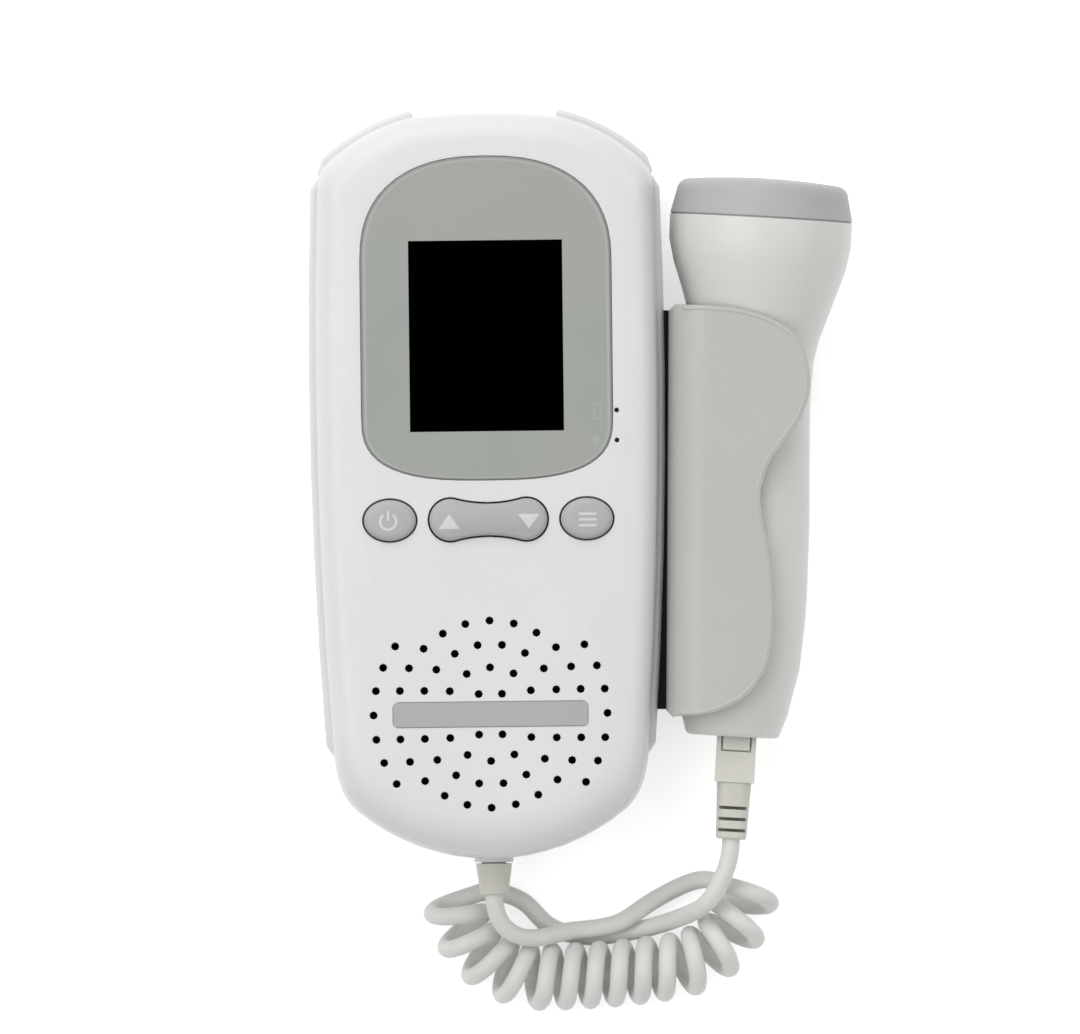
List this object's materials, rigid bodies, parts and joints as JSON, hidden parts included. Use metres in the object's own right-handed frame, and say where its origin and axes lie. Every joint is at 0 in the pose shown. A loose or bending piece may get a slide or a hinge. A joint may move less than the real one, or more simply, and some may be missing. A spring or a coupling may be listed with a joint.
{
  "type": "fetal doppler monitor",
  "caption": "Hand-held fetal doppler: flat unit with display, keys and speaker grille, a probe in a side clip holder, and a curly cord between them.",
  "frame": {"origin": "on the flat back of the unit, at the middle of its length and width", "axes": "+Y to the unit's top end, where the sockets are; +Z out of its face; +X to the side with the holder and the probe"},
  "size_m": [0.1094, 0.181, 0.0392],
  "materials": {
    "shell": "satin white moulding",
    "lens": "tinted lens, gloss",
    "key": "matt grey",
    "strip": "matt grey label",
    "holder": "satin light grey",
    "probe": "satin warm white",
    "cap": "matt grey",
    "cream": "matt cream",
    "cord": "matt light grey sheath",
    "board": "green board",
    "black": "matt black",
    "steel": "plated",
    "paper": "speaker cone",
    "ceramic": "crystal",
    "foam": "soft backing",
    "clear": "clear",
    "cell": "plain sleeve"
  },
  "bodies": {
    "unit": {"front_case": "shell", "back_case": "shell", "window": "lens", "label_strip": "strip", "lcd_bezel": "steel", "lcd_backlight": "clear", "lcd_panel": "black", "main_board": "board", "processor_chip": "black", "amplifier_chip": "black", "light_pipe": "clear", "power_switch": "black", "up_switch": "black", "down_switch": "black", "mode_switch": "black", "speaker_basket": "steel", "speaker_cone": "paper", "speaker_magnet": "steel", "battery_left": "cell", "battery_right": "cell", "battery_bridge": "steel", "spring_contact": "steel", "flat_contact": "steel", "case_screw_1": "steel", "case_screw_2": "steel", "case_screw_3": "steel", "case_screw_4": "steel", "socket_board": "board", "earphone_jack": "black", "charge_port": "steel", "cord_relief": "cream", "holder": "holder", "holder_screw_1": "steel", "holder_screw_2": "steel", "coil": "cord", "unit_tail": "cord", "probe_tail": "cord"},
    "power_key": {"power_key": "key"},
    "mode_key": {"mode_key": "key"},
    "rocker_key": {"rocker_key": "key"},
    "battery_door": {"battery_door": "shell"},
    "probe": {"probe_housing": "probe", "probe_cap": "cap", "transmit_crystal": "ceramic", "receive_crystal": "ceramic", "backing_foam": "foam", "probe_board": "board", "probe_socket": "black", "plug_body": "cream", "plug_latch": "cream", "plug_boot": "cream"}
  },
  "joints": [
    {"name": "power_key_press", "type": "slide", "parent": "unit", "child": "power_key", "axis": [0, 0, -1], "range_m": [0, 0.0008], "stiffness_N_per_m": 900},
    {"name": "mode_key_press", "type": "slide", "parent": "unit", "child": "mode_key", "axis": [0, 0, -1], "range_m": [0, 0.0008], "stiffness_N_per_m": 900},
    {"name": "rocker_tilt", "type": "hinge", "parent": "unit", "child": "rocker_key", "pos_m": [0, -0.0068, 0.0333], "axis": [0, 1, 0], "range_deg": [-2.5, 2.5], "stiffness_Nm_per_rad": 0.06},
    {"name": "door_slide", "type": "slide", "parent": "unit", "child": "battery_door", "axis": [0, -1, 0], "range_m": [0, 0.004]},
    {"name": "probe_release", "type": "slide", "parent": "unit", "child": "probe", "axis": [1, 0, 0], "range_m": [0, 0.04]}
  ]
}
